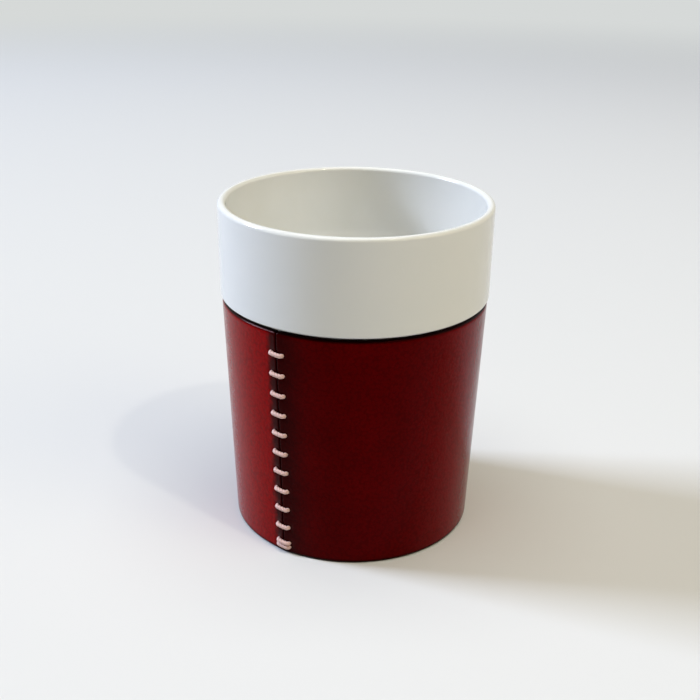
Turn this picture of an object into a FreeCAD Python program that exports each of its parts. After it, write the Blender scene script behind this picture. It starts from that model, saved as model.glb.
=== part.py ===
import FreeCAD, Part

import math
import os

import Sketcher

# A handleless porcelain beaker that stands in a hand-stitched leather sleeve.
# Lengths are millimetres and angles degrees. The origin is on the table, under the middle of the
# beaker, with +Z up and the seam of the sleeve at -Y. The beaker lifts out of the sleeve along +Z.

sizes = {
    # The beaker: a white band above, and below it a narrower seat that the sleeve goes round.
    "beaker_height": 105.1,
    "rim_radius": 42.0,
    "lip_thickness": 2.5,
    "lip_round_share": 0.46,
    "band_height": 29.1,
    "band_taper": 0.2,
    "shoulder_round": 0.8,
    "shoulder_root_round": 0.5,
    "wall_thickness": 2.8,
    "floor_thickness": 4.3,
    "floor_round": 10.0,
    # Inside, a soft step from below the shoulder to above it keeps the wall even.
    "inner_step_below": 2.0,
    "inner_step_above": 6.0,
    "inner_step_round": 12.0,
    # The foot ring that the beaker stands on, unglazed on the real thing.
    "foot_inset": 3.25,
    "foot_width": 3.5,
    "foot_height": 1.6,
    "foot_round": 0.6,
    "foot_draft": 0.6,
    "foot_hollow": 2.2,
    "foot_hollow_round": 1.0,
    "heel_round": 3.0,
    # The sleeve: one strip of stiff leather, bent round the seat and closed edge to edge. Its top
    # lies a little inside the shoulder, and it narrows by the taper on each side down to the table.
    "sleeve_recess": 0.45,
    "sleeve_taper": 2.85,
    "sleeve_top_gap": 0.8,
    "sleeve_fit": 0.25,
    "leather_thickness": 2.0,
    "outer_edge_round": 0.8,
    "inner_edge_round": 0.4,
    # The seam: each end of the strip runs straight for this many degrees before it meets the other.
    "flap_angle": 8.2,
    "seam_gap": 0.3,
    "seam_round": 0.3,
    # The stitches: level bars outside, slanting runs inside that lie in shallow grooves.
    "stitch_count": 11,
    "top_margin": 6.85,
    "base_margin": 2.95,
    "stitch_span": 3.9,
    "thread_diameter": 1.2,
    "thread_bend": 0.25,
    "hole_clearance": 0.1,
    "groove_clearance": 0.15,
    "stitch_lift": 0.05,
    "run_clearance": 0.2,
    "pass_gap": 0.1,
    # How far a cutting tool reaches past what it cuts.
    "overrun": 5.0,
}

document = FreeCAD.newDocument("sleeved_beaker")
sheet = document.addObject("Spreadsheet::Sheet", "size")
for row, (alias, number) in enumerate(sizes.items(), start=1):
    sheet.set(f"A{row}", alias)
    sheet.set(f"B{row}", str(number))
    sheet.setAlias(f"B{row}", alias)
document.recompute()


def value(formula):
    """The number that a formula of the sheet's sizes comes to."""
    return float(sheet.evalExpression(formula))


# Formulas that more than one sub-part uses.
shoulder_height = "(size.beaker_height - size.band_height)"
shoulder_radius = "(size.rim_radius - size.band_taper)"
sleeve_height = f"({shoulder_height} - size.sleeve_top_gap)"
sleeve_top_radius = f"({shoulder_radius} - size.sleeve_recess)"
sleeve_base_radius = f"({sleeve_top_radius} - size.sleeve_taper)"
slant = f"sqrt({sleeve_height}^2 + size.sleeve_taper^2)"
stitch_pitch = f"(({slant} - size.top_margin - size.base_margin) / (size.stitch_count - 1))"
thread_radius = "(size.thread_diameter / 2)"
hole_radius = f"({thread_radius} + size.hole_clearance)"
half_span = "(size.stitch_span / 2)"
half_pass = "((size.thread_diameter + size.pass_gap) / 2)"


def sleeve_radius(height):
    """The sleeve's outer radius at a height above the table."""
    return f"({sleeve_base_radius} + size.sleeve_taper * ({height}) / {sleeve_height})"


def seat_radius(height):
    """The beaker's outer radius at a height inside the sleeve."""
    return f"({sleeve_radius(height)} - size.leather_thickness - size.sleeve_fit)"


def stitch_height(number):
    """The height of a stitch above the table, counted from 0 at the top, along the slanting leather."""
    from_base = f"({slant} - size.top_margin - {number} * {stitch_pitch})"
    return f"({from_base} * {sleeve_height} / {slant})"


def origin_plane(body, role):
    """One of a body's own origin planes, by its role."""
    return next(feature for feature in body.Origin.OriginFeatures if feature.Role == role)


def new_sketch(body, name, role):
    """An empty sketch on one of the body's origin planes."""
    sketch = body.newObject("Sketcher::SketchObject", name)
    sketch.AttachmentSupport = [(origin_plane(body, role), "")]
    sketch.MapMode = "FlatFace"
    return sketch


def bind(sketch, kind, references, formula, name):
    """Adds a dimension to a sketch and ties it to a formula."""
    sketch.addConstraint(Sketcher.Constraint(kind, *references, value(formula)))
    sketch.renameConstraint(sketch.ConstraintCount - 1, name)
    sketch.setExpression(f"Constraints.{name}", formula)


def place_point(sketch, geometry, end, across, up, name):
    """Ties one point of a sketch to two formulas, measured from the sketch's origin."""
    bind(sketch, "DistanceX", (-1, 1, geometry, end), across, f"{name}_across")
    bind(sketch, "DistanceY", (-1, 1, geometry, end), up, f"{name}_up")


def outline(body, name, role, corners):
    """A closed sketch of straight sides. A corner is (across, up, round), and round may be None."""
    sketch = new_sketch(body, name, role)
    points = [FreeCAD.Vector(value(across), value(up), 0) for across, up, _ in corners]
    leave, arrive, arcs = [], [], []
    for index, (point, (_, _, round_size)) in enumerate(zip(points, corners)):
        if round_size is None:
            arrive.append(point)
            leave.append(point)
            arcs.append(None)
            continue
        back = (points[index - 1] - point).normalize()
        ahead = (points[(index + 1) % len(points)] - point).normalize()
        half_corner = back.getAngle(ahead) / 2
        radius = value(round_size)
        set_back = radius / math.tan(half_corner)
        centre = point + (back + ahead).normalize() * (radius / math.sin(half_corner))
        arrive.append(point + back * set_back)
        leave.append(point + ahead * set_back)
        arcs.append((centre, radius, back.cross(ahead).z < 0))
    sides = []
    for index in range(len(points)):
        following = (index + 1) % len(points)
        sides.append(sketch.addGeometry(Part.LineSegment(leave[index], arrive[following]), False))
    for index, (across, up, round_size) in enumerate(corners):
        side_in, side_out = sides[index - 1], sides[index]
        if arcs[index] is None:
            sketch.addConstraint(Sketcher.Constraint("Coincident", side_in, 2, side_out, 1))
            place_point(sketch, side_out, 1, across, up, f"corner{index}")
            continue
        centre, radius, turns_left = arcs[index]
        first, last = (arrive[index], leave[index]) if turns_left else (leave[index], arrive[index])
        turn_start = math.atan2(first.y - centre.y, first.x - centre.x)
        turn_end = math.atan2(last.y - centre.y, last.x - centre.x)
        circle = Part.Circle(centre, FreeCAD.Vector(0, 0, 1), radius)
        arc = sketch.addGeometry(Part.ArcOfCircle(circle, turn_start, turn_end), False)
        near, far = (1, 2) if turns_left else (2, 1)
        corner = sketch.addGeometry(Part.Point(points[index]), True)
        sketch.addConstraint(Sketcher.Constraint("PointOnObject", corner, 1, side_in))
        sketch.addConstraint(Sketcher.Constraint("PointOnObject", corner, 1, side_out))
        sketch.addConstraint(Sketcher.Constraint("Tangent", side_in, 2, arc, near))
        sketch.addConstraint(Sketcher.Constraint("Tangent", arc, far, side_out, 1))
        place_point(sketch, corner, 1, across, up, f"corner{index}")
        bind(sketch, "Radius", (arc,), round_size, f"round{index}")
    return sketch


def slot_outline(body, name, role, start, end, half_width):
    """A closed sketch of a slot with round ends, between two points given as formulas."""
    sketch = new_sketch(body, name, role)
    centres = [FreeCAD.Vector(value(across), value(up), 0) for across, up in (start, end)]
    along = (centres[1] - centres[0]).normalize()
    aside = FreeCAD.Vector(-along.y, along.x, 0) * value(half_width)
    side_angle = math.atan2(aside.y, aside.x)
    arcs = []
    for centre, turn_start in zip(centres, (side_angle, side_angle + math.pi)):
        circle = Part.Circle(centre, FreeCAD.Vector(0, 0, 1), value(half_width))
        arc = Part.ArcOfCircle(circle, turn_start, turn_start + math.pi)
        arcs.append(sketch.addGeometry(arc, False))
    near_side = sketch.addGeometry(Part.LineSegment(centres[0] - aside, centres[1] - aside), False)
    far_side = sketch.addGeometry(Part.LineSegment(centres[1] + aside, centres[0] + aside), False)
    sketch.addConstraint(Sketcher.Constraint("Tangent", arcs[0], 2, near_side, 1))
    sketch.addConstraint(Sketcher.Constraint("Tangent", near_side, 2, arcs[1], 1))
    sketch.addConstraint(Sketcher.Constraint("Tangent", arcs[1], 2, far_side, 1))
    sketch.addConstraint(Sketcher.Constraint("Tangent", far_side, 2, arcs[0], 1))
    for arc, (across, up), word in zip(arcs, (start, end), ("start", "end")):
        place_point(sketch, arc, 3, across, up, word)
    bind(sketch, "Radius", (arcs[0],), half_width, "half_width")
    return sketch


def cut_towards_seam(body, name, sketch, depth):
    """Cuts a sketch of the XZ plane from the beaker's axis towards the seam, and checks that it cut."""
    before = body.Tip.Shape.Volume
    cut = body.newObject("PartDesign::Pocket", name)
    cut.Profile = sketch
    cut.Reversed = True
    cut.setExpression("Length", depth)
    document.recompute()
    if not cut.Shape.Volume < before:
        raise ValueError(f"{name} cuts nothing")
    return cut


def repeat_down_seam(body, name, feature, count):
    """Repeats a cut down the slanting seam, one stitch apart."""
    pattern = body.newObject("PartDesign::LinearPattern", name)
    pattern.Originals = [feature]
    pattern.Direction = (seam_line, ["Axis0"])
    pattern.Mode = "Spacing"
    pattern.setExpression("Offset", stitch_pitch)
    pattern.setExpression("Occurrences", count)
    body.Tip = pattern
    document.recompute()
    return pattern


# Porcelain beaker: one revolved half section, from the lip down the outside and up the cavity.
porcelain_beaker = document.addObject("PartDesign::Body", "porcelain_beaker")
cavity_floor = "(size.foot_hollow + size.floor_thickness)"
step_base = f"({shoulder_height} - size.inner_step_below)"
step_top = f"({shoulder_height} + size.inner_step_above)"
lip_round = "(size.lip_thickness * size.lip_round_share)"
foot_radius = f"({seat_radius('0')} - size.foot_inset)"
foot_bore = f"({foot_radius} - size.foot_width)"


def cavity_radius(height):
    """The cavity's radius behind the seat, at a height."""
    return f"({seat_radius(height)} - size.wall_thickness)"


half_section = outline(
    porcelain_beaker,
    "half_section",
    "XZ_Plane",
    [
        ("size.rim_radius", "size.beaker_height", lip_round),
        (shoulder_radius, shoulder_height, "size.shoulder_round"),
        (seat_radius(shoulder_height), shoulder_height, "size.shoulder_root_round"),
        (seat_radius("size.foot_height"), "size.foot_height", "size.heel_round"),
        (f"{foot_radius} + size.foot_draft", "size.foot_height", "size.foot_round"),
        (foot_radius, "0", "size.foot_round"),
        (foot_bore, "0", "size.foot_round"),
        (f"{foot_bore} - size.foot_draft", "size.foot_hollow", "size.foot_hollow_round"),
        ("0", "size.foot_hollow", None),
        ("0", cavity_floor, None),
        (cavity_radius(cavity_floor), cavity_floor, "size.floor_round"),
        (cavity_radius(step_base), step_base, "size.inner_step_round"),
        (f"{shoulder_radius} - size.lip_thickness", step_top, "size.inner_step_round"),
        ("size.rim_radius - size.lip_thickness", "size.beaker_height", lip_round),
    ],
)
beaker_turned = porcelain_beaker.newObject("PartDesign::Revolution", "beaker_turned")
beaker_turned.Profile = half_section
beaker_turned.ReferenceAxis = (half_section, ["V_Axis"])
beaker_turned.Angle = 360
document.recompute()

# Leather sleeve: the left half of the strip, then its mirror image, then the grooves inside.
leather_sleeve = document.addObject("PartDesign::Body", "leather_sleeve")
strip_section = outline(
    leather_sleeve,
    "strip_section",
    "YZ_Plane",
    [
        (sleeve_base_radius, "0", "size.outer_edge_round"),
        (sleeve_top_radius, sleeve_height, "size.outer_edge_round"),
        (f"{sleeve_top_radius} - size.leather_thickness", sleeve_height, "size.inner_edge_round"),
        (f"{sleeve_base_radius} - size.leather_thickness", "0", "size.inner_edge_round"),
    ],
)
bent_strip = leather_sleeve.newObject("PartDesign::Revolution", "bent_strip")
bent_strip.Profile = strip_section
bent_strip.ReferenceAxis = (strip_section, ["V_Axis"])
bent_strip.setExpression("Angle", "180 - size.flap_angle")
document.recompute()


def flat_face(feature, wanted):
    """The name of the feature's one flat face whose middle and normal the test accepts."""
    found = []
    for number, face in enumerate(feature.Shape.Faces, start=1):
        if isinstance(face.Surface, Part.Plane) and wanted(face.CenterOfMass, face.normalAt(0, 0)):
            found.append(f"Face{number}")
    if len(found) != 1:
        raise ValueError(f"{feature.Name} has {len(found)} such faces")
    return found[0]


# The last stretch of the strip is straight, so the two ends meet in a low ridge.
bend_end = flat_face(bent_strip, lambda middle, normal: middle.y < 0 and abs(normal.z) < abs(normal.x))
straight_flap = leather_sleeve.newObject("PartDesign::Pad", "straight_flap")
straight_flap.Profile = (bent_strip, [bend_end])
straight_flap.setExpression("Length", f"{sleeve_top_radius} * tan(size.flap_angle)")
document.recompute()

trim = outline(
    leather_sleeve,
    "trim",
    "XZ_Plane",
    [
        ("-size.seam_gap / 2", "-size.overrun", None),
        ("size.overrun", "-size.overrun", None),
        ("size.overrun", f"{sleeve_height} + size.overrun", None),
        ("-size.seam_gap / 2", f"{sleeve_height} + size.overrun", None),
    ],
)
past_leather = f"{sleeve_top_radius} + size.overrun"
seam_trimmed = cut_towards_seam(leather_sleeve, "seam_trimmed", trim, past_leather)

seam_face = flat_face(seam_trimmed, lambda middle, normal: middle.y < 0 and abs(normal.x) > abs(normal.y))
seam_rounded = leather_sleeve.newObject("PartDesign::Fillet", "seam_rounded")
seam_rounded.Base = (seam_trimmed, [seam_face])
seam_rounded.setExpression("Radius", "size.seam_round")
document.recompute()

# The line down the seam that the holes and grooves follow.
seam_line = new_sketch(leather_sleeve, "seam_line", "YZ_Plane")
seam_top = FreeCAD.Vector(-value(sleeve_top_radius), value(sleeve_height), 0)
seam_base = FreeCAD.Vector(-value(sleeve_base_radius), 0, 0)
seam_line.addGeometry(Part.LineSegment(seam_top, seam_base), True)
place_point(seam_line, 0, 1, f"-{sleeve_top_radius}", sleeve_height, "top")
place_point(seam_line, 0, 2, f"-{sleeve_base_radius}", "0", "base")
document.recompute()

hole = new_sketch(leather_sleeve, "hole", "XZ_Plane")
hole_middle = FreeCAD.Vector(-value(half_span), value(stitch_height(0)), 0)
hole.addGeometry(Part.Circle(hole_middle, FreeCAD.Vector(0, 0, 1), value(hole_radius)), False)
place_point(hole, 0, 3, f"-{half_span}", stitch_height(0), "middle")
bind(hole, "Radius", (0,), hole_radius, "hole_radius")
top_hole = cut_towards_seam(leather_sleeve, "top_hole", hole, past_leather)
hole_row = repeat_down_seam(leather_sleeve, "hole_row", top_hole, "size.stitch_count - 1")

# The lowest hole takes the thread twice, so it is a slot.
last_stitch = stitch_height("(size.stitch_count - 1)")
upper_pass = f"({last_stitch} + {half_pass})"
lower_pass = f"({last_stitch} - {half_pass})"
slot_ends = [(f"-{half_span}", upper_pass), (f"-{half_span}", lower_pass)]
slot = slot_outline(leather_sleeve, "slot", "XZ_Plane", *slot_ends, hole_radius)
slot_hole = cut_towards_seam(leather_sleeve, "slot_hole", slot, past_leather)

whole_strip = leather_sleeve.newObject("PartDesign::Mirrored", "whole_strip")
whole_strip.TransformMode = "Whole shape"
whole_strip.MirrorPlane = (origin_plane(leather_sleeve, "YZ_Plane"), [""])
leather_sleeve.Tip = whole_strip
document.recompute()


def run_depth(height):
    """How far from the beaker's axis the thread's middle lies where it runs inside the leather."""
    return f"({seat_radius(height)} + size.run_clearance + {thread_radius})"


def cut_groove(name, start_height, end_height):
    """A groove inside the leather from the right-hand hole at one height to the left-hand one at another."""
    ends = [(half_span, start_height), (f"-{half_span}", end_height)]
    half_width = f"({thread_radius} + size.groove_clearance)"
    groove = slot_outline(leather_sleeve, f"{name}_slot", "XZ_Plane", *ends, half_width)
    floor = f"{run_depth(start_height)} + {thread_radius} + size.hole_clearance"
    return cut_towards_seam(leather_sleeve, name, groove, floor)


top_groove = cut_groove("top_groove", stitch_height(0), stitch_height(1))
groove_row = repeat_down_seam(leather_sleeve, "groove_row", top_groove, "size.stitch_count - 2")
last_groove = cut_groove("last_groove", stitch_height("(size.stitch_count - 2)"), upper_pass)
return_groove = cut_groove("return_groove", upper_pass, lower_pass)

# Seam thread: one waxed thread that crosses the seam outside, level, and slants down inside to
# the next pair of holes. The lowest pair is passed twice, and both ends stop at the inner face.
flap_angle = math.radians(value("size.flap_angle"))
span = value(half_span)
bend = value(f"{thread_radius} + size.thread_bend")


def bar_distance(height):
    """How far from the beaker's axis the middle of an outside bar lies, where it rests on the ridge."""
    ridge = value(sleeve_radius(height)) / math.cos(flap_angle)
    return ridge + value(f"size.stitch_lift + {thread_radius}")


def inner_face_distance(height):
    """How far from the beaker's axis the leather's inner face lies at a hole."""
    inner = value(f"{sleeve_radius(height)} - size.leather_thickness")
    return (inner - span * math.sin(flap_angle)) / math.cos(flap_angle)


single_passes = [stitch_height(number) for number in range(int(value("size.stitch_count")) - 1)]
passes = single_passes + [upper_pass, lower_pass]
route = []
for height in passes:
    level = value(height)
    inside = value(run_depth(height))
    outside = bar_distance(height)
    route.append(FreeCAD.Vector(-span, -inside, level))
    route.append(FreeCAD.Vector(-span, -outside, level))
    route.append(FreeCAD.Vector(span, -outside, level))
    route.append(FreeCAD.Vector(span, -inside, level))
route[0].y = -inner_face_distance(passes[0])
route[-1].y = -inner_face_distance(passes[-1])


def rounded_path(corners, radius):
    """A wire of straight runs through the corners, joined by tangent arcs of one radius."""
    edges = []
    left_at = corners[0]
    for before, corner, after in zip(corners, corners[1:], corners[2:]):
        back = (before - corner).normalize()
        ahead = (after - corner).normalize()
        half_corner = back.getAngle(ahead) / 2
        set_back = radius / math.tan(half_corner)
        centre = corner + (back + ahead).normalize() * (radius / math.sin(half_corner))
        middle = centre + (corner - centre).normalize() * radius
        arrive = corner + back * set_back
        leave = corner + ahead * set_back
        edges.append(Part.LineSegment(left_at, arrive).toShape())
        edges.append(Part.Arc(arrive, middle, leave).toShape())
        left_at = leave
    edges.append(Part.LineSegment(left_at, corners[-1]).toShape())
    return Part.Wire(edges)


path = rounded_path(route, bend)
ring = Part.makeCircle(value(thread_radius), route[0], (route[1] - route[0]).normalize())
sweep = Part.BRepOffsetAPI.MakePipeShell(path)
sweep.add(Part.Wire([ring]))
sweep.build()
sweep.makeSolid()
seam_thread = document.addObject("Part::Feature", "seam_thread")
seam_thread.Shape = sweep.shape()
section_area = math.pi * value(thread_radius) ** 2
print("thread length", round(path.Length, 1), "mm, volume", round(seam_thread.Shape.Volume, 1))
print("section times length", round(section_area * path.Length, 1))

# Every object has to be sound before anything is written.
document.recompute()
for item in document.Objects:
    if "Invalid" in item.State or "Error" in item.State:
        raise ValueError(f"{item.Name} is {item.State}")

os.makedirs("parts", exist_ok=True)
for part in (porcelain_beaker, leather_sleeve, seam_thread):
    part.Label = part.Name
    shape = part.Shape
    if shape.isNull() or not shape.isValid() or len(shape.Solids) != 1:
        raise ValueError(f"{part.Name} has no sound solid")
    print(part.Name, "volume", round(shape.Volume, 1), "faces", len(shape.Faces))
    shape.exportStep(f"parts/{part.Label}.step")
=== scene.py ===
# %% [markdown]
# # A porcelain beaker in a hand-sewn leather sleeve
# The real thing has three pieces: a beaker of white porcelain, one strip of stiff red leather bent
# round its lower part, and one waxed thread that closes the strip with eleven stitches.
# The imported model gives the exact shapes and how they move. This file gives the looks. Each piece is
# modelled again here, with the same sizes, because its finish needs things that an exact solid lacks:
# dents where the thread pulls, a twist in the thread, faces that a bump can follow.

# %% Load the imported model
import math

import bmesh
import bpy
from mathutils import Matrix, Vector


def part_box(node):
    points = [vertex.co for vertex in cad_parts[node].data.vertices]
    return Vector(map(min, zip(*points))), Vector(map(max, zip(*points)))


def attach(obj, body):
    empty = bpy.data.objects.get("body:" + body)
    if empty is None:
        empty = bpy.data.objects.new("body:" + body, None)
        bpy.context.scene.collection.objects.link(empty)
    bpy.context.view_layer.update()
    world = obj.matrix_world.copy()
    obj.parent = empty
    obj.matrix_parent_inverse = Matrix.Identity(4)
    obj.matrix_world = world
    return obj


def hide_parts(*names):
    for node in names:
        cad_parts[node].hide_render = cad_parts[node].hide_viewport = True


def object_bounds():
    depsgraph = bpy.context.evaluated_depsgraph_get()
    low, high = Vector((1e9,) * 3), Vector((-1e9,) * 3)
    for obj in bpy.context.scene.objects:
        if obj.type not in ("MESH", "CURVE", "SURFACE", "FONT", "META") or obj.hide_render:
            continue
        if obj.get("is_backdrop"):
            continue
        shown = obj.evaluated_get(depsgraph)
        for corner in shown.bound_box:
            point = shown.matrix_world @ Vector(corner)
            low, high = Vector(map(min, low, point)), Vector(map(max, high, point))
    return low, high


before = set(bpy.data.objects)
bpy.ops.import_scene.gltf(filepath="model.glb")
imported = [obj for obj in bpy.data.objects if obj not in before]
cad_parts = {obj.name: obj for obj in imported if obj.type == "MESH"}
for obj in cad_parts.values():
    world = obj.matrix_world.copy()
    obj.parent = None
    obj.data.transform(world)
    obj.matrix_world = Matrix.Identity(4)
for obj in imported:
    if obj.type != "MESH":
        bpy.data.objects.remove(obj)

cad_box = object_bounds()
mm = 0.001
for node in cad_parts:
    low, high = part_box(node)
    print(node, "from", [round(c / mm, 2) for c in low], "to", [round(c / mm, 2) for c in high], "mm")

# %% [markdown]
# ## The camera
# The photograph was taken from a little above, about 36 cm away, with the seam to the left of the
# middle. A camera can be placed by eye, or worked out from straight and round edges whose real shape
# is known. This one was worked out from the rim, the shoulder, the foot and the row of stitches. A
# helper turns "right, away and up, as seen in the photograph" into the model's own directions, where
# the seam is at -Y, because lamps and shadows are easier to place as seen.

# %% The camera
camera_turn = math.radians(32.56)
camera_distance = 310.0 * mm
camera_height = 187.7 * mm
camera_tilt = math.radians(23.17)
camera_pan = math.radians(-0.23)
camera_roll = math.radians(0.82)
camera_lens = 53.94


def as_seen(right, away, up):
    """A place given as seen in the photograph, from the beaker's axis, in the model's directions."""
    return Matrix.Rotation(camera_turn, 3, "Z") @ Vector((right, away, up))


bpy.ops.object.camera_add()
camera = bpy.context.object
camera.name = "photo_camera"
camera.data.lens = camera_lens
turned = Matrix.Rotation(camera_turn - camera_pan, 4, "Z")
tilted = Matrix.Rotation(math.pi / 2 - camera_tilt, 4, "X")
rolled = Matrix.Rotation(camera_roll, 4, "Z")
stand = Matrix.Translation(as_seen(0, -camera_distance, camera_height))
camera.matrix_world = stand @ turned @ tilted @ rolled
camera.data.clip_start = 10 * mm
camera.data.clip_end = 100
bpy.context.scene.camera = camera
bpy.context.scene.view_settings.view_transform = "Standard"
print("camera at", [round(c / mm, 1) for c in camera.matrix_world.translation], "mm")

# %% [markdown]
# ## Helpers for modelling by hand
# The pieces are made with the operators that a modeller uses in edit mode: extrude, bevel, spin,
# bisect, bridge. An operator works on what is selected, so a small helper selects points, edges or
# faces by where they are. A turned piece starts as a single point, which is extruded along half of
# the section. Its corners are then bevelled to their radius, as one would round them with the mouse.

# %% Helpers for modelling by hand
arc_step = math.radians(9)
merge_distance = 0.001 * mm


def one_point(name):
    """A new piece that is one point at the origin, left in edit mode."""
    bpy.ops.object.select_all(action="DESELECT")
    bpy.ops.mesh.primitive_plane_add(size=mm)
    piece = bpy.context.object
    piece.name = name
    piece.data.name = name
    bpy.ops.object.mode_set(mode="EDIT")
    bpy.ops.mesh.merge(type="CENTER")
    return piece


def choose(piece, kind, wanted):
    """Selects the points, edges or faces of the piece in edit mode that the test accepts."""
    bpy.ops.mesh.select_mode(type=kind)
    bpy.ops.mesh.select_all(action="DESELECT")
    mesh = bmesh.from_edit_mesh(piece.data)
    chosen = 0
    for part in {"VERT": mesh.verts, "EDGE": mesh.edges, "FACE": mesh.faces}[kind]:
        if wanted(part):
            part.select_set(True)
            chosen += 1
    mesh.select_flush_mode()
    bmesh.update_edit_mesh(piece.data)
    return chosen


def lay_section(piece, corners, closed):
    """Extrudes a point along the corners of a section, in the XZ plane, and rounds them.

    A corner is (radius, height, round), and a round of 0 leaves it sharp.
    """
    places = [Vector((radius, 0, height)) for radius, height, _ in corners]
    bpy.ops.transform.translate(value=places[0])
    for before, place in zip(places, places[1:]):
        bpy.ops.mesh.extrude_vertices_move(TRANSFORM_OT_translate={"value": place - before})
    if closed:
        ends = (places[0], places[-1])
        choose(piece, "VERT", lambda point: any((point.co - end).length < merge_distance for end in ends))
        bpy.ops.mesh.edge_face_add()
    for index, (place, (_, _, size)) in enumerate(zip(places, corners)):
        if not size:
            continue
        back = (places[index - 1] - place).normalized()
        ahead = (places[(index + 1) % len(places)] - place).normalized()
        half_corner = back.angle(ahead) / 2
        segments = max(2, round((math.pi - 2 * half_corner) / arc_step))
        choose(piece, "VERT", lambda point: (point.co - place).length < merge_distance)
        bpy.ops.mesh.bevel(
            offset=size / math.tan(half_corner),
            offset_type="OFFSET",
            segments=segments,
            profile=0.5,
            affect="VERTICES",
        )


def finish_piece(piece):
    """Leaves edit mode, with smooth shading that keeps flat runs flat beside their rounds."""
    bpy.ops.object.mode_set(mode="OBJECT")
    bpy.ops.object.select_all(action="DESELECT")
    piece.select_set(True)
    bpy.context.view_layer.objects.active = piece
    bpy.ops.object.shade_smooth()
    bpy.ops.object.modifier_add(type="WEIGHTED_NORMAL")
    piece.modifiers[-1].keep_sharp = True
    bpy.ops.object.modifier_apply(modifier=piece.modifiers[-1].name)
    sizes = [round(size / mm, 2) for size in piece.dimensions]
    print(piece.name, len(piece.data.polygons), "faces,", sizes, "mm")


# %% [markdown]
# ## The porcelain beaker
# A beaker like this is slip-cast: liquid clay stiffens against a plaster mould, so the wall is even
# and every edge is soft. Half of its section, from the middle of the foot, up the outside, over the
# lip and down the inside, is spun once round the axis. A cylinder with its rings scaled would do too,
# but with a section each radius can be read and set. The narrow seat, which the leather covers, and
# the foot ring are modelled, because they show when the beaker is lifted out or seen from below. The
# rim is 0.02 mm under its 42 mm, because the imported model's round rim is made of short flats, and the
# visual model has to stay inside their box.

# %% The beaker's sizes
beaker_height = 105.1 * mm
rim_radius = 41.98 * mm
lip_thickness = 2.5 * mm
lip_round = 1.15 * mm
shoulder_height = 76.0 * mm
shoulder_radius = 41.8 * mm
shoulder_round = 0.8 * mm
shoulder_root_round = 0.5 * mm
wall_thickness = 2.8 * mm
floor_thickness = 4.3 * mm
floor_round = 10.0 * mm
inner_step_base = 74.0 * mm
inner_step_top = 82.0 * mm
inner_step_round = 12.0 * mm
foot_radius = 33.0 * mm
foot_width = 3.5 * mm
foot_height = 1.6 * mm
foot_round = 0.6 * mm
foot_draft = 0.6 * mm
foot_hollow = 2.2 * mm
foot_hollow_round = 1.0 * mm
heel_round = 3.0 * mm
turn_steps = 192
print("beaker", round(beaker_height / mm, 1), "mm high, and", round(2 * rim_radius / mm, 1), "mm across")

# %% The sleeve's sizes, which the beaker's seat follows
sleeve_height = 75.2 * mm
sleeve_top_radius = 41.35 * mm
sleeve_base_radius = 38.5 * mm
leather_thickness = 2.0 * mm
sleeve_fit = 0.25 * mm


def sleeve_radius(height):
    """The sleeve's outer radius at a height above the table."""
    return sleeve_base_radius + (sleeve_top_radius - sleeve_base_radius) * height / sleeve_height


def seat_radius(height):
    """The beaker's outer radius at a height inside the sleeve."""
    return sleeve_radius(height) - leather_thickness - sleeve_fit


def cavity_radius(height):
    """The radius of the space for the drink, behind the seat."""
    return seat_radius(height) - wall_thickness


seat_radii = [round(seat_radius(height) / mm, 2) for height in (foot_height, shoulder_height)]
print("the seat's radius grows from", seat_radii[0], "to", seat_radii[1], "mm")


# %% Turn the beaker
cavity_floor = foot_hollow + floor_thickness
foot_bore = foot_radius - foot_width
porcelain_cup = one_point("porcelain_cup")
lay_section(
    porcelain_cup,
    [
        (0, foot_hollow, 0),
        (foot_bore - foot_draft, foot_hollow, foot_hollow_round),
        (foot_bore, 0, foot_round),
        (foot_radius, 0, foot_round),
        (foot_radius + foot_draft, foot_height, foot_round),
        (seat_radius(foot_height), foot_height, heel_round),
        (seat_radius(shoulder_height), shoulder_height, shoulder_root_round),
        (shoulder_radius, shoulder_height, shoulder_round),
        (rim_radius, beaker_height, lip_round),
        (rim_radius - lip_thickness, beaker_height, lip_round),
        (shoulder_radius - lip_thickness, inner_step_top, inner_step_round),
        (cavity_radius(inner_step_base), inner_step_base, inner_step_round),
        (cavity_radius(cavity_floor), cavity_floor, floor_round),
        (0, cavity_floor, 0),
    ],
    closed=False,
)
bpy.ops.mesh.select_all(action="SELECT")
bpy.ops.mesh.spin(steps=turn_steps, angle=2 * math.pi, center=(0, 0, 0), axis=(0, 0, 1))
bpy.ops.mesh.select_all(action="SELECT")
bpy.ops.mesh.remove_doubles(threshold=merge_distance)
bpy.ops.mesh.normals_make_consistent(inside=False)
finish_piece(porcelain_cup)

# %% [markdown]
# ## The leather sleeve
# The maker cuts one strip, punches two rows of holes, bends the strip round the beaker's seat and
# draws its two ends together edge to edge. The ends don't follow the curve all the way: the last
# 6 mm stay straight, so the seam stands up as a low ridge. The section of the strip is spun nearly
# all the way round, and its two open ends are extruded straight on and cut off at the seam. Bending
# a flat strip with a modifier would be nearer to the making, but this gives the ridge exactly.

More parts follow.
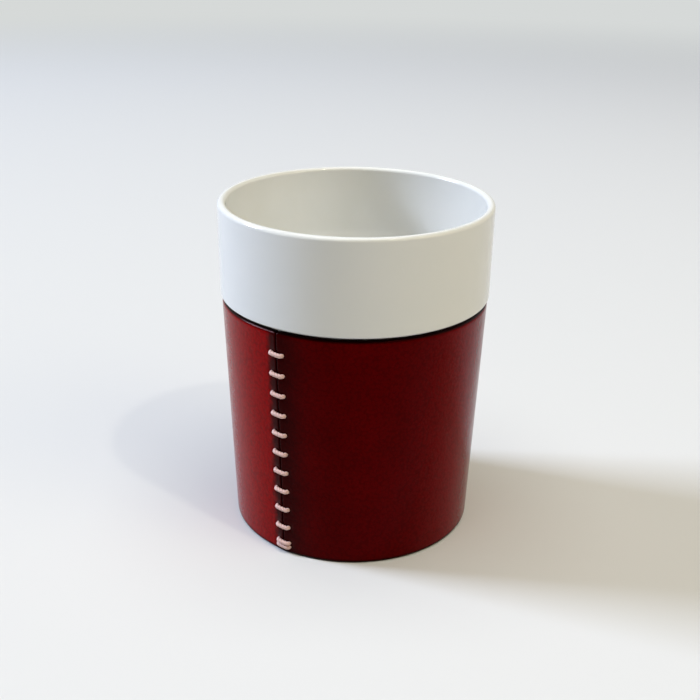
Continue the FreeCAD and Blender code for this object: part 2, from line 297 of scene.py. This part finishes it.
# %% Bend the strip
outer_edge_round = 0.8 * mm
top_edge_round = 1.4 * mm
inner_edge_round = 0.4 * mm
flap_angle = math.radians(8.2)
seam_gap = 0.3 * mm
seam_round = 0.35 * mm
strip_rows = 150
strip_columns = 132
flap_columns = 12
leather_strip = one_point("leather_strip")
lay_section(
    leather_strip,
    [
        (sleeve_base_radius, 0, outer_edge_round),
        (sleeve_top_radius, sleeve_height, top_edge_round),
        (sleeve_top_radius - leather_thickness, sleeve_height, inner_edge_round),
        (sleeve_base_radius - leather_thickness, 0, inner_edge_round),
    ],
    closed=True,
)
long_side = sleeve_height / 2
choose(leather_strip, "EDGE", lambda edge: edge.calc_length() > long_side)
bpy.ops.mesh.subdivide(number_cuts=strip_rows)
bpy.ops.mesh.select_all(action="SELECT")
to_left_bend = math.pi / 2 + flap_angle
bpy.ops.transform.rotate(value=to_left_bend, orient_axis="Z", center_override=(0, 0, 0))
bent_part = 2 * math.pi - 2 * flap_angle
bpy.ops.mesh.spin(steps=strip_columns, angle=bent_part, center=(0, 0, 0), axis=(0, 0, 1))
print("bent strip:", len(bmesh.from_edit_mesh(leather_strip.data).faces), "faces")

# %% [markdown]
# Each open end is now drawn straight on, past the middle, and cut off upright with a bisect, which
# also closes the end with a face. The cut edges are bevelled a little, as a maker does with an edge
# beveller before burnishing them. Only then is the straight part divided into narrow columns, so
# that the bevel has room and the dents that come later have points to move.

# %% Draw out the two ends and cut them at the seam
flap_length = sleeve_top_radius * math.tan(flap_angle)
hair = 0.01 * mm


def along_flap(place, side):
    """How far a place lies past the bend, towards the seam, on the right side (1) or the left (-1)."""
    return -side * place.x * math.cos(flap_angle) - place.y * math.sin(flap_angle)


def at_bend(edge, side):
    places = [p.co for p in edge.verts]
    return all(abs(along_flap(p, side)) < hair and side * p.x > 0 and p.y < 0 for p in places)


def at_cut(edge, cut_place):
    places = [p.co for p in edge.verts]
    return all(abs(p.x - cut_place[0]) < hair and p.y < 0 for p in places)


def on_flap(face, side):
    places = [p.co for p in face.verts]
    past_bend = all(along_flap(place, side) > -hair and place.y < 0 for place in places)
    return past_bend and max(side * place.x for place in places) > flap_length / 2


for side in (1, -1):
    choose(leather_strip, "EDGE", lambda edge: at_bend(edge, side))
    towards_seam = Vector((-side * math.cos(flap_angle), -math.sin(flap_angle), 0)) * flap_length
    bpy.ops.mesh.extrude_edges_move(TRANSFORM_OT_translate={"value": towards_seam})
    choose(leather_strip, "FACE", lambda face: on_flap(face, side))
    cut_place = (side * seam_gap / 2, 0, 0)
    bpy.ops.mesh.bisect(plane_co=cut_place, plane_no=(side, 0, 0), use_fill=True, clear_inner=True)
    bpy.ops.mesh.select_all(action="SELECT")
    bpy.ops.mesh.normals_make_consistent(inside=False)
    choose(leather_strip, "EDGE", lambda edge: at_cut(edge, cut_place))
    bpy.ops.mesh.bevel(offset=seam_round, offset_type="OFFSET", segments=4, profile=0.5, affect="EDGES")
choose(leather_strip, "EDGE", lambda edge: edge.calc_length() > flap_length / 2 and edge.verts[0].co.y < 0)
bpy.ops.mesh.subdivide(number_cuts=flap_columns)
bpy.ops.mesh.select_all(action="SELECT")
bpy.ops.mesh.normals_make_consistent(inside=False)
print("whole strip:", len(bmesh.from_edit_mesh(leather_strip.data).faces), "faces")

# %% [markdown]
# ## Where the thread goes
# One waxed thread closes the seam. It comes out of a left hole, crosses the ridge, goes into the
# right hole, and slants down inside to the next left hole. The lowest pair of holes is sewn twice.
# The heights come from the thread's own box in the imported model. The route is a list of points that
# a smooth curve is drawn through: a sewn thread has no sharp corner, and hugs what it crosses.

# %% The thread's route
thread_radius = 0.68 * mm
pass_spacing = 1.44 * mm
half_span = 1.95 * mm
stitch_count = 11
run_clearance = 0.2 * mm
stitch_tilt = 0.16 * mm
bar_sink = 0.3 * mm
mouth_sink = 0.12 * mm
mouth_share = 0.86
thread_low, thread_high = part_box("seam_thread")
top_stitch = thread_high.z - thread_radius
lowest_pass = thread_low.z + thread_radius
last_stitch = lowest_pass + pass_spacing / 2
stitch_pitch = (top_stitch - last_stitch) / (stitch_count - 1)
single_passes = [top_stitch - n * stitch_pitch for n in range(stitch_count - 1)]
passes = single_passes + [lowest_pass + pass_spacing, lowest_pass]


def leather_face(across, height):
    """How far in front of the axis the outside of the leather lies, beside the seam."""
    return sleeve_radius(height) / math.cos(flap_angle) - abs(across) * math.tan(flap_angle)


route = []
for height in passes:
    inside = seat_radius(height) + run_clearance + thread_radius
    face = leather_face(half_span, height)
    ridge = leather_face(0, height)
    left = height + stitch_tilt
    right = height - stitch_tilt
    route += [
        Vector((-half_span, -inside, left)),
        Vector((-half_span, -(inside + face) / 2, left)),
        Vector((-half_span, -face, left)),
        Vector((-half_span * mouth_share, -face - thread_radius + mouth_sink, left)),
        Vector((0, -ridge - thread_radius + bar_sink, height)),
        Vector((half_span * mouth_share, -face - thread_radius + mouth_sink, right)),
        Vector((half_span, -face, right)),
        Vector((half_span, -(inside + face) / 2, right)),
        Vector((half_span, -inside, right)),
    ]
route = route[1:-1]
print("stitches", round(stitch_pitch / mm, 2), "mm apart,", len(route), "points on the route")


# %% [markdown]
# ## Dents where the thread pulls
# A thread that is pulled tight draws the leather in at each hole and presses the ridge flat where it
# crosses. Each dent is a proportional move: a few points are pushed in, and their neighbours follow
# in a soft curve. The move is connected, so the inner side, which is near but not joined at that
# place, stays where it is.

# %% Press the dents
hole_dent = 0.24 * mm
hole_dent_reach = 1.5 * mm
ridge_dent = 0.28 * mm
ridge_dent_reach = 1.3 * mm
touch = 0.5 * mm


def on_leather(across, height):
    """A place on the outside of the leather beside the seam, raised or lowered as the stitches lean."""
    lean = -stitch_tilt * across / half_span
    return Vector((across, -leather_face(across, height), height + lean))


def press(places, depth, reach):
    """Pushes the leather in at some places on its outside, each with a soft rim."""
    pressed = choose(
        leather_strip,
        "VERT",
        lambda point: along_flap(point.co, math.copysign(1, point.co.x)) > 0
        and any((point.co - place).length < touch for place in places),
    )
    bpy.ops.transform.translate(
        value=(0, depth, 0),
        use_proportional_edit=True,
        proportional_edit_falloff="SMOOTH",
        proportional_size=reach,
        use_proportional_connected=True,
    )
    print("pressed", pressed, "points in by", round(depth / mm, 2), "mm")


hole_places = [on_leather(across, height) for height in passes for across in (-half_span, half_span)]
ridge_places = [on_leather(across, height) for height in passes for across in (-seam_round, seam_round)]
press(hole_places, hole_dent, hole_dent_reach)
press(ridge_places, ridge_dent, ridge_dent_reach)
bpy.ops.object.mode_set(mode="OBJECT")

# %% [markdown]
# ## The thread
# Waxed linen thread is laid up from three plies, so its section has three lobes, and the lobes turn
# round each other along the length. A curve with a three-lobed section and a steadily growing tilt
# gives exactly that with few faces. Three separate strands would also do, but cost three times the
# faces for plies that are 0.6 mm thick. The same curve with a plain round section, a little thinner
# so that the thread sits tight, is the tool that cuts the holes and the grooves in the leather.

# %% Lay the thread
ply_turn = 3.0 * mm
lobe_depth_share = 0.16
hole_radius = 0.56 * mm
section_points = 24


def thread_section(name, radius, depth_share):
    """A closed ring with three lobes, for a curve to carry along itself."""
    ring = bpy.data.curves.new(name, "CURVE")
    spline = ring.splines.new("POLY")
    spline.points.add(section_points - 1)
    spline.use_cyclic_u = True
    for index, point in enumerate(spline.points):
        turn = 2 * math.pi * index / section_points
        reach = radius * (1 - depth_share * (1 - abs(math.cos(1.5 * turn))))
        point.co = (reach * math.cos(turn), reach * math.sin(turn), 0, 1)
    carrier = bpy.data.objects.new(name, ring)
    bpy.context.collection.objects.link(carrier)
    return carrier


def sewn(name, section):
    """The section carried along the thread's route, as a closed mesh."""
    line = bpy.data.curves.new(name, "CURVE")
    line.dimensions = "3D"
    spline = line.splines.new("NURBS")
    spline.points.add(len(route) - 1)
    travelled = 0.0
    for index, (point, place) in enumerate(zip(spline.points, route)):
        travelled += (place - route[max(index - 1, 0)]).length
        point.co = (*place, 1)
        point.tilt = 2 * math.pi * travelled / ply_turn
    spline.order_u = 3
    spline.use_endpoint_u = True
    spline.resolution_u = 7
    line.bevel_mode = "OBJECT"
    line.bevel_object = section
    line.use_fill_caps = True
    piece = bpy.data.objects.new(name, line)
    bpy.context.collection.objects.link(piece)
    bpy.ops.object.select_all(action="DESELECT")
    piece.select_set(True)
    bpy.context.view_layer.objects.active = piece
    bpy.ops.object.convert(target="MESH")
    piece = bpy.context.object
    bpy.ops.object.mode_set(mode="EDIT")
    bpy.ops.mesh.select_all(action="SELECT")
    bpy.ops.mesh.remove_doubles(threshold=merge_distance)
    bpy.ops.mesh.normals_make_consistent(inside=False)
    bpy.ops.object.mode_set(mode="OBJECT")
    bpy.data.objects.remove(section)
    print(name, len(piece.data.polygons), "faces, about", round(travelled / mm), "mm of thread")
    return piece


sewing_thread = sewn("sewing_thread", thread_section("three_plies", thread_radius, lobe_depth_share))
punch = sewn("punch", thread_section("round_punch", hole_radius, 0))

# %% Cut the holes and finish the sleeve and the thread
bpy.ops.object.select_all(action="DESELECT")
leather_strip.select_set(True)
bpy.context.view_layer.objects.active = leather_strip
bpy.ops.object.modifier_add(type="BOOLEAN")
holes = leather_strip.modifiers[-1]
holes.operation = "DIFFERENCE"
holes.solver = "EXACT"
holes.object = punch
bpy.ops.object.modifier_apply(modifier=holes.name)
bpy.data.objects.remove(punch)
finish_piece(leather_strip)
finish_piece(sewing_thread)

# %% [markdown]
# ## Colours and nodes
# Colours are written as sRGB hex, as a colour picker shows them, and one function turns them into the
# linear numbers that the shader wants. Another adds a node with its settings, and links or sets its
# inputs. A node given as an input stands for its first output that is in use.

# %% Colours and nodes


def linear(colour):
    """An sRGB hex colour as linear red, green, blue and alpha."""
    parts = [int(colour[i : i + 2], 16) / 255 for i in (1, 3, 5)]
    return (*[p / 12.92 if p <= 0.04045 else ((p + 0.055) / 1.055) ** 2.4 for p in parts], 1)


def add_node(material, kind, inputs=None, **settings):
    """A node of a kind with its settings, and its inputs linked to a node or socket, or set."""
    node = material.node_tree.nodes.new(kind)
    for name, setting in settings.items():
        setattr(node, name, setting)
    for name, given in (inputs or {}).items():
        if isinstance(given, bpy.types.Node):
            given = next(socket for socket in given.outputs if socket.enabled)
        if isinstance(given, bpy.types.NodeSocket):
            material.node_tree.links.new(given, node.inputs[name])
        else:
            node.inputs[name].default_value = given
    return node


def new_material(name):
    """A material without nodes, and the place of each point on the object."""
    material = bpy.data.materials.new(name)
    material.use_nodes = True
    material.node_tree.nodes.clear()
    place = add_node(material, "ShaderNodeTexCoord").outputs["Object"]
    print("material", name)
    return material, place


def per(size):
    """The scale of a pattern whose features are this far apart, in metres."""
    return 1 / size


print("the grey #808080 is", round(linear("#808080")[0], 3), "in linear numbers")


# %% [markdown]
# ## Glazed porcelain
# Hard white porcelain under a clear gloss glaze: a slightly warm white body colour, the IOR of glass
# and a very low roughness. The glaze is a little wavy over a centimetre or two, and a little thicker in
# places, which the eye sees as highlights that waver and a white that isn't quite even.

# %% Glazed porcelain


def glazed_porcelain():
    material, place = new_material("glazed_porcelain")
    wave = add_node(material, "ShaderNodeTexNoise", {"Vector": place, "Scale": per(14 * mm), "Detail": 1.0})
    body = add_node(
        material,
        "ShaderNodeMix",
        {"Factor": wave, "A": linear("#EFF0EC"), "B": linear("#F4F3EF")},
        data_type="RGBA",
    )
    thickness = add_node(
        material,
        "ShaderNodeBump",
        {"Height": wave, "Strength": 0.12, "Distance": 0.25 * mm},
    )
    shine = add_node(
        material,
        "ShaderNodeMapRange",
        {"Value": wave, "From Min": 0.3, "From Max": 0.7, "To Min": 0.05, "To Max": 0.09},
    )
    shader = add_node(
        material,
        "ShaderNodeBsdfPrincipled",
        {"Base Color": body, "Roughness": shine, "IOR": 1.5, "Normal": thickness},
    )
    add_node(material, "ShaderNodeOutputMaterial", {"Surface": shader})
    return material


porcelain_cup.data.materials.append(glazed_porcelain())

# %% [markdown]
# The foot ring is wiped clean of glaze before firing, or it would stick to the kiln shelf. What shows
# is bare biscuit: matt, a little darker, with a fine grit that the finger feels. It shows when the
# beaker is lifted out.

# %% Bare biscuit on the foot ring
ground_height = 0.35 * mm


def bare_biscuit():
    material, place = new_material("bare_biscuit")
    grit = add_node(material, "ShaderNodeTexNoise", {"Vector": place, "Scale": per(0.5 * mm), "Detail": 3.0})
    tone = add_node(
        material,
        "ShaderNodeMix",
        {"Factor": grit, "A": linear("#D9D4CA"), "B": linear("#EFEBE3")},
        data_type="RGBA",
    )
    grain = add_node(material, "ShaderNodeBump", {"Height": grit, "Strength": 0.4, "Distance": 0.05 * mm})
    shader = add_node(
        material,
        "ShaderNodeBsdfPrincipled",
        {"Base Color": tone, "Roughness": 0.85, "IOR": 1.5, "Normal": grain},
    )
    add_node(material, "ShaderNodeOutputMaterial", {"Surface": shader})
    return material


porcelain_cup.data.materials.append(bare_biscuit())
for face in porcelain_cup.data.polygons:
    face.material_index = 1 if face.center.z < ground_height else 0
print("bare faces:", sum(face.material_index for face in porcelain_cup.data.polygons))

# %% [markdown]
# ## Dyed and glazed cowhide
# Vegetable-tanned cowhide, dyed dark red and finished with a glossy top coat. Its colour has three
# parts. The dye is slightly cloudy, with painted light over it: the end of the strip to the left of the
# seam is painted much redder, where the window lights it, and the side at the right a little redder
# again, where the lamps on the right light it. The pores are darker than the skin between them. And the
# cut edges are burnished nearly black, with painted shade under the beaker's shoulder and at the table.
# The strip of leather between the two rows of holes has painted shade, nearly black, and the leather
# right of the ridge has painted shade that fades out to the right.
# The seam is at X = 0 on the front, so these places are bands along X, Y and Z, some with a frayed
# border.

# %% The colour of the cowhide


def dye_and_painted_light(material, place, across, back, in_front):
    """The cloudy red, with painted light: redder on the strip's left end and on the side at the right."""
    cloud = add_node(material, "ShaderNodeTexNoise", {"Vector": place, "Scale": per(11 * mm), "Detail": 4.0})
    middle = add_node(
        material,
        "ShaderNodeMix",
        {"Factor": cloud, "A": linear("#4C0102"), "B": linear("#620204")},
        data_type="RGBA",
    )
    # Painted light: the side at the right, where the lamps on the right light it, is painted redder.
    to_right = add_node(
        material,
        "ShaderNodeMapRange",
        {"Value": across, "From Min": 18 * mm, "From Max": 36 * mm},
        interpolation_type="SMOOTHSTEP",
    )
    to_back = add_node(
        material,
        "ShaderNodeMapRange",
        {"Value": back, "From Min": -24 * mm, "From Max": 4 * mm},
        interpolation_type="SMOOTHSTEP",
    )
    painted_light_right_side = add_node(material, "ShaderNodeMath", {0: to_right, 1: to_back}, operation="MULTIPLY")
    main_part = add_node(
        material,
        "ShaderNodeMix",
        {"Factor": painted_light_right_side, "A": middle, "B": linear("#800103")},
        data_type="RGBA",
    )
    # Painted light: the strip's left end, where the window lights it, is painted much redder.
    from_seam = add_node(
        material,
        "ShaderNodeMapRange",
        {"Value": across, "From Min": -0.2 * mm, "From Max": -3.2 * mm},
        interpolation_type="SMOOTHSTEP",
    )
    to_side = add_node(
        material,
        "ShaderNodeMapRange",
        {"Value": across, "From Min": -40 * mm, "From Max": -24 * mm},
        interpolation_type="SMOOTHSTEP",
    )
    left_part = add_node(material, "ShaderNodeMath", {0: from_seam, 1: to_side}, operation="MULTIPLY")
    painted_light_left_end = add_node(material, "ShaderNodeMath", {0: left_part, 1: in_front}, operation="MULTIPLY")
    return add_node(
        material,
        "ShaderNodeMix",
        {"Factor": painted_light_left_end, "A": main_part, "B": linear("#940103")},
        data_type="RGBA",
    )


def burnish_and_painted_shade(material, across, in_front, height):
    """A mask of burnish and painted shade: the two cut edges, and the leather along the seam."""
    # Painted shade along the seam, between the two rows of holes.
    left_of_seam = add_node(
        material,
        "ShaderNodeMapRange",
        {"Value": across, "From Min": -2.6 * mm, "From Max": 0.2 * mm},
        interpolation_type="SMOOTHSTEP",
    )
    # Painted shade right of the ridge, fading out over about ten millimetres.
    shade_right_of_ridge = add_node(
        material,
        "ShaderNodeMapRange",
        {"Value": across, "From Min": 13 * mm, "From Max": 2.5 * mm, "To Max": 0.72},
        interpolation_type="SMOOTHSTEP",
    )
    by_seam = add_node(material, "ShaderNodeMath", {0: left_of_seam, 1: shade_right_of_ridge}, operation="MULTIPLY")
    seam = add_node(material, "ShaderNodeMath", {0: by_seam, 1: in_front}, operation="MULTIPLY")
    # The top edge: burnish, with painted shade under the beaker's shoulder.
    top = add_node(
        material,
        "ShaderNodeMapRange",
        {"Value": height, "From Min": sleeve_height - 1.1 * mm, "From Max": sleeve_height - 0.4 * mm},
        interpolation_type="SMOOTHSTEP",
    )
    # The bottom edge: burnish, with painted shade where the sleeve stands on the table.
    base = add_node(
        material,
        "ShaderNodeMapRange",
        {"Value": height, "From Min": 1.6 * mm, "From Max": 0.4 * mm},
        interpolation_type="SMOOTHSTEP",
    )
    edges = add_node(material, "ShaderNodeMath", {0: top, 1: base}, operation="MAXIMUM")
    return add_node(material, "ShaderNodeMath", {0: edges, 1: seam}, operation="MAXIMUM")


# %% [markdown]
# The surface of the hide is a network of fine pores with wider creases under it. The pores are about
# 0.4 mm apart on real hide and are drawn at 0.9 mm, because finer ones don't show at this size. The
# gloss is that of a thin coat: a low IOR keeps the front deep red and leaves the pale sheen to the
# rims, where the eye looks along the surface, and the tint keeps the front reflection red. A burnished
# edge is rubbed with wax until it shines, so it gets the same gloss.

# %% Dyed and glazed cowhide


def dyed_cowhide():
    material, place = new_material("dyed_cowhide")
    parts = add_node(material, "ShaderNodeSeparateXYZ", {"Vector": place})
    in_front = add_node(material, "ShaderNodeMath", {0: parts.outputs["Y"], 1: 0.0}, operation="LESS_THAN")
    fray = add_node(material, "ShaderNodeTexNoise", {"Vector": place, "Scale": per(2.2 * mm), "Detail": 3.0})
    shift = add_node(material, "ShaderNodeMath", {0: fray, 1: 2.4 * mm}, operation="MULTIPLY")
    across = add_node(material, "ShaderNodeMath", {0: parts.outputs["X"], 1: shift}, operation="ADD")
    burnished_and_shaded = burnish_and_painted_shade(material, across, in_front, parts.outputs["Z"])
    pores = add_node(
        material,
        "ShaderNodeTexVoronoi",
        {"Vector": place, "Scale": per(0.9 * mm), "Smoothness": 0.4},
        feature="SMOOTH_F1",
    )
    in_pore = add_node(
        material,
        "ShaderNodeMapRange",
        {"Value": pores, "From Min": 0.3, "From Max": 0.8, "To Max": 0.3},
        interpolation_type="SMOOTHSTEP",
    )
    dyed_and_lit = dye_and_painted_light(material, place, across, parts.outputs["Y"], in_front)
    pored = add_node(
        material,
        "ShaderNodeMix",
        {"Factor": in_pore, "A": dyed_and_lit, "B": linear("#2A0102")},
        data_type="RGBA",
    )
    # Burnish and painted shade, nearly black, over the cut edges and along the seam.
    colour = add_node(
        material,
        "ShaderNodeMix",
        {"Factor": burnished_and_shaded, "A": pored, "B": linear("#120101")},
        data_type="RGBA",
    )
    creases = add_node(
        material,
        "ShaderNodeTexNoise",
        {"Vector": place, "Scale": per(4 * mm), "Detail": 5.0},
    )
    grain = add_node(
        material,
        "ShaderNodeBump",
        {"Height": pores, "Strength": 0.5, "Distance": 0.07 * mm},
        invert=True,
    )
    relief = add_node(
        material,
        "ShaderNodeBump",
        {"Height": creases, "Strength": 0.4, "Distance": 0.14 * mm, "Normal": grain},
    )
    coat = add_node(
        material,
        "ShaderNodeMapRange",
        {"Value": creases, "From Min": 0.3, "From Max": 0.7, "To Min": 0.15, "To Max": 0.24},
    )
    shader = add_node(
        material,
        "ShaderNodeBsdfPrincipled",
        {
            "Base Color": colour,
            "Roughness": coat,
            "IOR": 1.2,
            "Specular Tint": linear("#C00010"),
            "Normal": relief,
        },
    )
    add_node(material, "ShaderNodeOutputMaterial", {"Surface": shader})
    return material


leather_strip.data.materials.append(dyed_cowhide())

# %% [markdown]
# The inside of the strip is the flesh side, which has no coat. Its short nap is matt and takes the dye
# unevenly, as a dull red brown. It shows when the beaker is lifted out.

# %% The flesh side of the cowhide


def bare_flesh_side():
    material, place = new_material("bare_flesh_side")
    nap = add_node(material, "ShaderNodeTexNoise", {"Vector": place, "Scale": per(0.7 * mm), "Detail": 4.0})
    patch = add_node(material, "ShaderNodeTexNoise", {"Vector": place, "Scale": per(9 * mm), "Detail": 3.0})
    uneven = add_node(material, "ShaderNodeMath", {0: nap, 1: patch}, operation="ADD")
    taken = add_node(
        material,
        "ShaderNodeMapRange",
        {"Value": uneven, "From Min": 0.7, "From Max": 1.3},
        interpolation_type="SMOOTHSTEP",
    )
    colour = add_node(
        material,
        "ShaderNodeMix",
        {"Factor": taken, "A": linear("#4A1512"), "B": linear("#7A2C24")},
        data_type="RGBA",
    )
    fibres = add_node(material, "ShaderNodeBump", {"Height": nap, "Strength": 0.7, "Distance": 0.12 * mm})
    shader = add_node(
        material,
        "ShaderNodeBsdfPrincipled",
        {
            "Base Color": colour,
            "Roughness": 0.95,
            "IOR": 1.45,
            "Specular IOR Level": 0.2,
            "Normal": fibres,
        },
    )
    add_node(material, "ShaderNodeOutputMaterial", {"Surface": shader})
    return material


leather_strip.data.materials.append(bare_flesh_side())
inner_side = leather_thickness - inner_edge_round / 2
for face in leather_strip.data.polygons:
    outwards = Vector((face.center.x, face.center.y, 0))
    faces_in = face.normal.dot(outwards.normalized()) < -0.5
    on_inside = outwards.length < sleeve_radius(face.center.z) - inner_side
    face.material_index = 1 if faces_in and on_inside else 0
print("flesh side faces:", sum(face.material_index for face in leather_strip.data.polygons))

# %% [markdown]
# ## Waxed linen thread
# Off-white linen, twisted and drawn over beeswax: silky rather than glossy, a little pink from the
# dye that it picks up in the holes, with a faint unevenness of its fibres. The shape already has the
# twist, so the material only adds the fibres.

# %% Waxed linen thread


def waxed_linen():
    material, place = new_material("waxed_linen")
    fibre = add_node(
        material,
        "ShaderNodeTexNoise",
        {"Vector": place, "Scale": per(0.35 * mm), "Detail": 3.0},
    )
    tone = add_node(
        material,
        "ShaderNodeMix",
        {"Factor": fibre, "A": linear("#E0B4AA"), "B": linear("#F8D3CA")},
        data_type="RGBA",
    )
    fluff = add_node(material, "ShaderNodeBump", {"Height": fibre, "Strength": 0.5, "Distance": 0.05 * mm})
    shader = add_node(
        material,
        "ShaderNodeBsdfPrincipled",
        {"Base Color": tone, "Roughness": 0.55, "IOR": 1.45, "Normal": fluff},
    )
    add_node(material, "ShaderNodeOutputMaterial", {"Surface": shader})
    return material


sewing_thread.data.materials.append(waxed_linen())

# %% [markdown]
# ## Floor and world
# The beaker stands on a plain white table that runs on past the top of the picture. Far from the
# beaker it fades into the pale backdrop, so that a low view has no hard horizon. What the table
# throws back onto the beaker is a little less than a white table would, because the real one ends
# somewhere in front of it. Both differences are made with Light Path, which tells a look from a bounce.

# %% The floor
floor_size = 8.0
fade_start = 0.85
fade_end = 1.7
backdrop_colour = linear("#D6D9D8")


def looked_at(material):
    """1 where the camera, a reflection or a clear pane looks, and 0 for light that bounces."""
    ray = add_node(material, "ShaderNodeLightPath")
    looks = {0: ray.outputs["Is Camera Ray"], 1: ray.outputs["Is Glossy Ray"]}
    seen = add_node(material, "ShaderNodeMath", looks, operation="MAXIMUM")
    through = ray.outputs["Is Transmission Ray"]
    return add_node(material, "ShaderNodeMath", {0: seen, 1: through}, operation="MAXIMUM")


def white_table():
    material, place = new_material("white_table")
    looked = looked_at(material)
    white = add_node(
        material,
        "ShaderNodeMix",
        {"Factor": looked, "A": linear("#C8C8C6"), "B": linear("#E7E7E5")},
        data_type="RGBA",
    )
    shader = add_node(
        material,
        "ShaderNodeBsdfPrincipled",
        {"Base Color": white, "Roughness": 0.9, "Specular IOR Level": 0.2},
    )
    reach = add_node(material, "ShaderNodeVectorMath", {0: place}, operation="LENGTH")
    far_off = add_node(
        material,
        "ShaderNodeMapRange",
        {"Value": reach.outputs["Value"], "From Min": fade_start, "From Max": fade_end},
        interpolation_type="SMOOTHSTEP",
    )
    fading = add_node(material, "ShaderNodeMath", {0: far_off, 1: looked}, operation="MULTIPLY")
    haze = add_node(material, "ShaderNodeEmission", {"Color": backdrop_colour, "Strength": 1.0})
    surface = add_node(material, "ShaderNodeMixShader", {0: fading, 1: shader, 2: haze})
    add_node(material, "ShaderNodeOutputMaterial", {"Surface": surface})
    return material


bpy.ops.object.select_all(action="DESELECT")
bpy.ops.mesh.primitive_plane_add(size=floor_size)
table_top = bpy.context.object
table_top.name = "table_top"
table_top.data.materials.append(white_table())
table_top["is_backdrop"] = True

# %% The world
world = bpy.data.worlds.new("room")
world.use_nodes = True
world.node_tree.nodes.clear()
bpy.context.scene.world = world
room = add_node(world, "ShaderNodeBackground", {"Color": linear("#E6E2DA"), "Strength": 0.04})
backdrop = add_node(world, "ShaderNodeBackground", {"Color": backdrop_colour, "Strength": 1.0})
shown = add_node(world, "ShaderNodeMixShader", {0: looked_at(world), 1: room, 2: backdrop})
add_node(world, "ShaderNodeOutputWorld", {"Surface": shown})
print("the table is", floor_size, "m wide and fades out", fade_start, "to", fade_end, "m from the beaker")

# %% [markdown]
# ## The lamps
# The shadows in the photograph tell where the light comes from. A long, cool-edged shadow to the right
# means a window low on the left, and its narrow blur means that the window is far off or small. The
# short, faint shadow to the left means a small warm lamp high on the right. The rest is broad: warm
# light from overhead, and weaker panels on the right that keep the shaded side from going grey. The
# large lamps stand well back, so that no other view has a part of the table that is far too bright.

# %% The lamps


def soft_lamp(name, place, size, colour, power):
    """A flat square lamp that faces the middle of the beaker."""
    bpy.ops.object.select_all(action="DESELECT")
    bpy.ops.object.light_add(type="AREA")
    lamp = bpy.context.object
    lamp.name = name
    lamp.data.shape = "SQUARE"
    lamp.data.size = size
    lamp.data.color = colour
    lamp.data.energy = power
    towards = Vector((0, 0, beaker_height / 2)) - place
    lamp.matrix_world = Matrix.Translation(place) @ towards.to_track_quat("-Z", "Y").to_matrix().to_4x4()
    print(name, "is", round(towards.length, 2), "m away, with", power, "W")


soft_lamp("window", as_seen(-4.0, 0.88, 2.66), 1.2, (0.69, 0.79, 1.0), 228.0)
soft_lamp("right_lamp", as_seen(0.48, -0.5, 1.2), 0.05, (1.0, 0.93, 0.78), 2.0)
soft_lamp("overhead", as_seen(0.0, -0.1, 1.8), 1.5, (1.0, 0.97, 0.92), 18.2)
soft_lamp("front_fill", as_seen(1.8, -1.35, 1.8), 1.8, (1.0, 0.95, 0.6), 12.4)
soft_lamp("right_fill", as_seen(3.2, -1.12, 1.6), 2.2, (1.0, 0.75, 0.4), 15.4)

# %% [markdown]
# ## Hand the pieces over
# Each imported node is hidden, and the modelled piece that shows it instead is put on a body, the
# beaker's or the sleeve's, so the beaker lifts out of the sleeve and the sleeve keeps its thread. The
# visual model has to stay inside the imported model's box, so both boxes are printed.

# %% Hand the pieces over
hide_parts("porcelain_beaker")
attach(porcelain_cup, "beaker")
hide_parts("leather_sleeve")
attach(leather_strip, "sleeve")
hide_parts("seam_thread")
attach(sewing_thread, "sleeve")

visual_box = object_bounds()
boxes = {
    "cad": [list(corner) for corner in cad_box],
    "visual": [list(corner) for corner in visual_box],
}
for name, corners in boxes.items():
    print(name, "box in mm:", [[round(c / mm, 2) for c in corner] for corner in corners])
